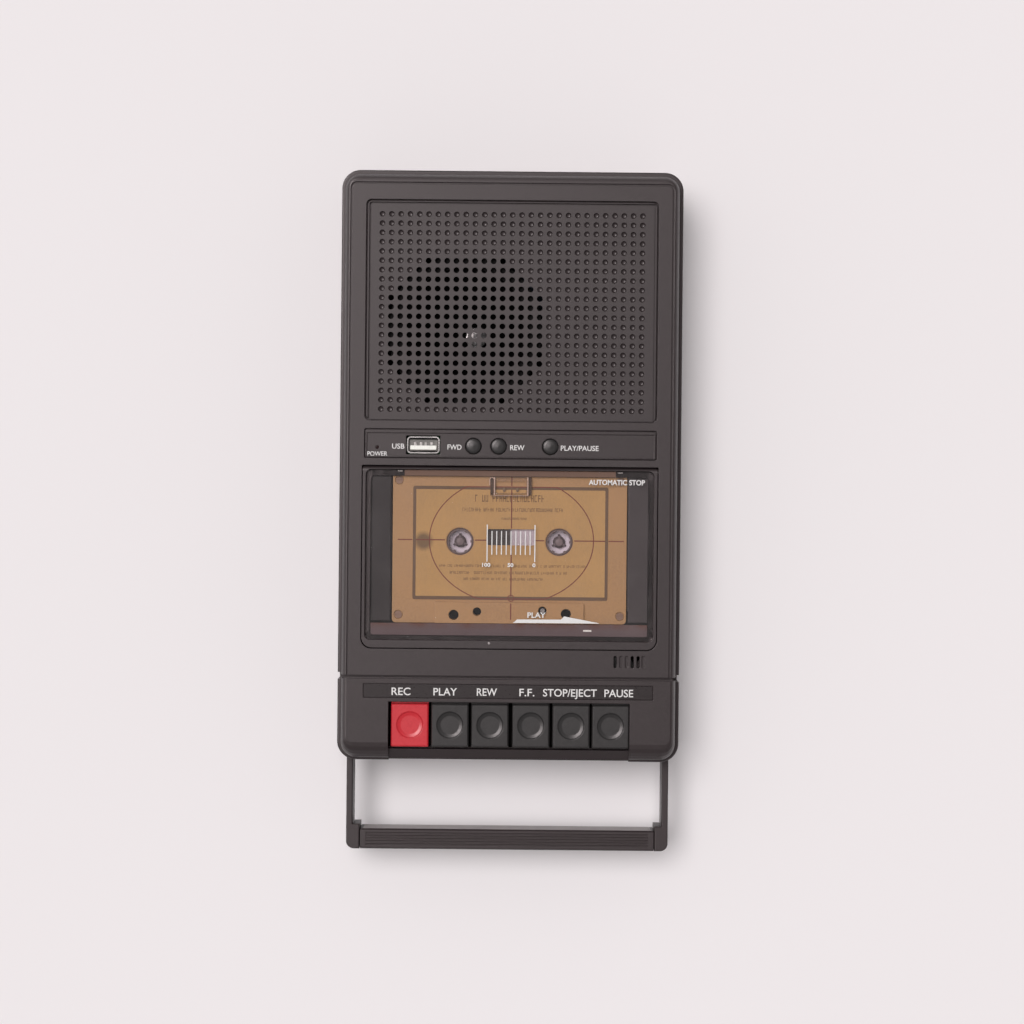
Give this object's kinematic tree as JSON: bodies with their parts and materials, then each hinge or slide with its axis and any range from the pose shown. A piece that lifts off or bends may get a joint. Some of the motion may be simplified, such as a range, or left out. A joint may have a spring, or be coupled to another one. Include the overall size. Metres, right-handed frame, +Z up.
{
  "type": "cassette player",
  "caption": "Flat portable cassette recorder with a piano-key row, hinged clear lid over a loaded cassette, speaker grille, upright USB socket and pull-out handle",
  "frame": {"origin": "on the floor under the middle of the outline with the handle pulled out, the player lying on its feet", "axes": "+X is the reader's right with the keys nearest, +Y runs from the handle to the speaker end and is the longest side, +Z is up out of the lid and keys"},
  "size_m": [0.147, 0.294, 0.059],
  "materials": {
    "case_plastic": "fine grained charcoal moulding",
    "key_plastic": "satin charcoal moulding",
    "record_key": "satin red moulding",
    "lens": "smoke clear moulding",
    "clear_plastic": "clear moulding",
    "rubber": "matt black",
    "steel": "plated",
    "dark_steel": "blackened",
    "brass": "turned",
    "white_plastic": "gloss white",
    "led": "tinted lens",
    "magnet": "ferrite",
    "cone_paper": "pressed paper pulp",
    "cell_wrap": "printed foil wrap, plain",
    "circuit_board": "solder mask",
    "components": "moulded cases",
    "cassette_shell": "tan moulding",
    "cassette_label": "kraft paper",
    "hub_plastic": "dark moulding",
    "tape": "dark brown coated film"
  },
  "bodies": {
    "case": {"bottom_cover": "case_plastic", "top_cover": "case_plastic", "front_bezel": "case_plastic", "speaker_grille": "case_plastic", "control_panel": "case_plastic", "key_label_strip": "case_plastic", "usb_shell": "steel", "usb_tongue": "white_plastic", "power_led": "led", "speaker_frame": "dark_steel", "speaker_magnet": "magnet", "speaker_cone": "cone_paper", "battery_cells": "cell_wrap", "battery_contacts": "steel", "main_board": "circuit_board", "board_components": "components", "side_jacks": "components", "mic_capsule": "rubber", "rubber_feet": "rubber", "case_screws": "steel", "deck_plate": "dark_steel", "motor": "steel", "drive_belt": "rubber", "takeup_belt": "rubber", "key_shaft": "steel", "key_return_spring": "steel"},
    "handle": {"handle_grip": "case_plastic", "handle_arm_left": "case_plastic", "handle_arm_right": "case_plastic", "handle_screws": "dark_steel"},
    "lid": {"lid_frame": "case_plastic", "lid_window": "lens", "cassette_holder": "case_plastic", "cassette_clip": "clear_plastic", "cassette_shell_upper": "cassette_shell", "cassette_shell_lower": "cassette_shell", "cassette_label": "cassette_label", "cassette_screws": "dark_steel"},
    "left_hub": {"hub_left": "hub_plastic", "tape_pack": "tape"},
    "right_hub": {"hub_right": "hub_plastic"},
    "volume": {"volume_wheel": "key_plastic"},
    "door": {"battery_door": "case_plastic"},
    "flywheel_body": {"flywheel": "brass", "capstan_shaft": "steel"},
    "motor_rotor": {"motor_pulley": "brass"},
    "takeup": {"takeup_spindle": "hub_plastic"},
    "supply": {"supply_spindle": "hub_plastic"},
    "head_carriage": {"head_plate": "steel", "tape_heads": "steel"},
    "roller": {"pinch_roller": "rubber"},
    "key_record_body": {"key_record": "record_key"},
    "key_play_body": {"key_play": "key_plastic"},
    "key_rewind_body": {"key_rewind": "key_plastic"},
    "key_forward_body": {"key_forward": "key_plastic"},
    "key_stop_body": {"key_stop": "key_plastic"},
    "key_pause_body": {"key_pause": "key_plastic"},
    "button_forward_body": {"button_forward": "key_plastic"},
    "button_rewind_body": {"button_rewind": "key_plastic"},
    "button_play_pause_body": {"button_play_pause": "key_plastic"}
  },
  "joints": [
    {"name": "handle_slide", "type": "slide", "parent": "case", "child": "handle", "axis": [0, 1, 0], "range_m": [0, 0.029]},
    {"name": "lid_hinge", "type": "hinge", "parent": "case", "child": "lid", "pos_m": [0, 0.0176, 0.0561], "axis": [-1, 0, 0], "range_deg": [0, 50]},
    {"name": "left_hub_turn", "type": "hinge", "parent": "lid", "child": "left_hub", "pos_m": [-0.02125, -0.0125, 0.0496], "axis": [0, 0, 1], "continuous": true},
    {"name": "right_hub_turn", "type": "hinge", "parent": "lid", "child": "right_hub", "pos_m": [0.02125, -0.0125, 0.0496], "axis": [0, 0, 1], "continuous": true},
    {"name": "volume_turn", "type": "hinge", "parent": "case", "child": "volume", "pos_m": [0.0612, 0.1, 0.0408], "axis": [0, 0, 1], "range_deg": [0, 270]},
    {"name": "door_slide", "type": "slide", "parent": "case", "child": "door", "axis": [0, 1, 0], "range_m": [0, 0.012]},
    {"name": "flywheel_turn", "type": "hinge", "parent": "case", "child": "flywheel_body", "pos_m": [0.0143, -0.0419, 0.0342], "axis": [0, 0, 1], "continuous": true},
    {"name": "motor_turn", "type": "hinge", "parent": "case", "child": "motor_rotor", "pos_m": [-0.038, -0.038, 0.036], "axis": [0, 0, 1], "continuous": true},
    {"name": "takeup_turn", "type": "hinge", "parent": "case", "child": "takeup", "pos_m": [0.02125, -0.0125, 0.0386], "axis": [0, 0, 1], "continuous": true},
    {"name": "supply_turn", "type": "hinge", "parent": "case", "child": "supply", "pos_m": [-0.02125, -0.0125, 0.0386], "axis": [0, 0, 1], "continuous": true},
    {"name": "head_slide", "type": "slide", "parent": "case", "child": "head_carriage", "axis": [0, 1, 0], "range_m": [0, 0.005]},
    {"name": "roller_turn", "type": "hinge", "parent": "head_carriage", "child": "roller", "pos_m": [0.0143, -0.0524, 0.0496], "axis": [0, 0, 1], "continuous": true},
    {"name": "key_record_press", "type": "hinge", "parent": "case", "child": "key_record_body", "pos_m": [0, -0.079, 0.0525], "axis": [1, 0, 0], "range_deg": [0, 12], "stiffness_Nm_per_rad": 0.6},
    {"name": "key_play_press", "type": "hinge", "parent": "case", "child": "key_play_body", "pos_m": [0, -0.079, 0.0525], "axis": [1, 0, 0], "range_deg": [0, 12], "stiffness_Nm_per_rad": 0.6},
    {"name": "key_rewind_press", "type": "hinge", "parent": "case", "child": "key_rewind_body", "pos_m": [0, -0.079, 0.0525], "axis": [1, 0, 0], "range_deg": [0, 12], "stiffness_Nm_per_rad": 0.6},
    {"name": "key_forward_press", "type": "hinge", "parent": "case", "child": "key_forward_body", "pos_m": [0, -0.079, 0.0525], "axis": [1, 0, 0], "range_deg": [0, 12], "stiffness_Nm_per_rad": 0.6},
    {"name": "key_stop_press", "type": "hinge", "parent": "case", "child": "key_stop_body", "pos_m": [0, -0.079, 0.0525], "axis": [1, 0, 0], "range_deg": [0, 12], "stiffness_Nm_per_rad": 0.6},
    {"name": "key_pause_press", "type": "hinge", "parent": "case", "child": "key_pause_body", "pos_m": [0, -0.079, 0.0525], "axis": [1, 0, 0], "range_deg": [0, 12], "stiffness_Nm_per_rad": 0.6},
    {"name": "button_forward_press", "type": "slide", "parent": "case", "child": "button_forward_body", "axis": [0, 0, -1], "range_m": [0, 0.0008], "stiffness_N_per_m": 400},
    {"name": "button_rewind_press", "type": "slide", "parent": "case", "child": "button_rewind_body", "axis": [0, 0, -1], "range_m": [0, 0.0008], "stiffness_N_per_m": 400},
    {"name": "button_play_pause_press", "type": "slide", "parent": "case", "child": "button_play_pause_body", "axis": [0, 0, -1], "range_m": [0, 0.0008], "stiffness_N_per_m": 400}
  ],
  "couplings": [
    {"joint": "motor_turn", "follows": "flywheel_turn", "ratio": 5.5},
    {"joint": "takeup_turn", "follows": "flywheel_turn", "ratio": 0.625},
    {"joint": "right_hub_turn", "follows": "flywheel_turn", "ratio": 0.625},
    {"joint": "left_hub_turn", "follows": "supply_turn", "ratio": 1},
    {"joint": "key_play_press", "follows": "head_slide", "rad_per_m": 41.8}
  ]
}
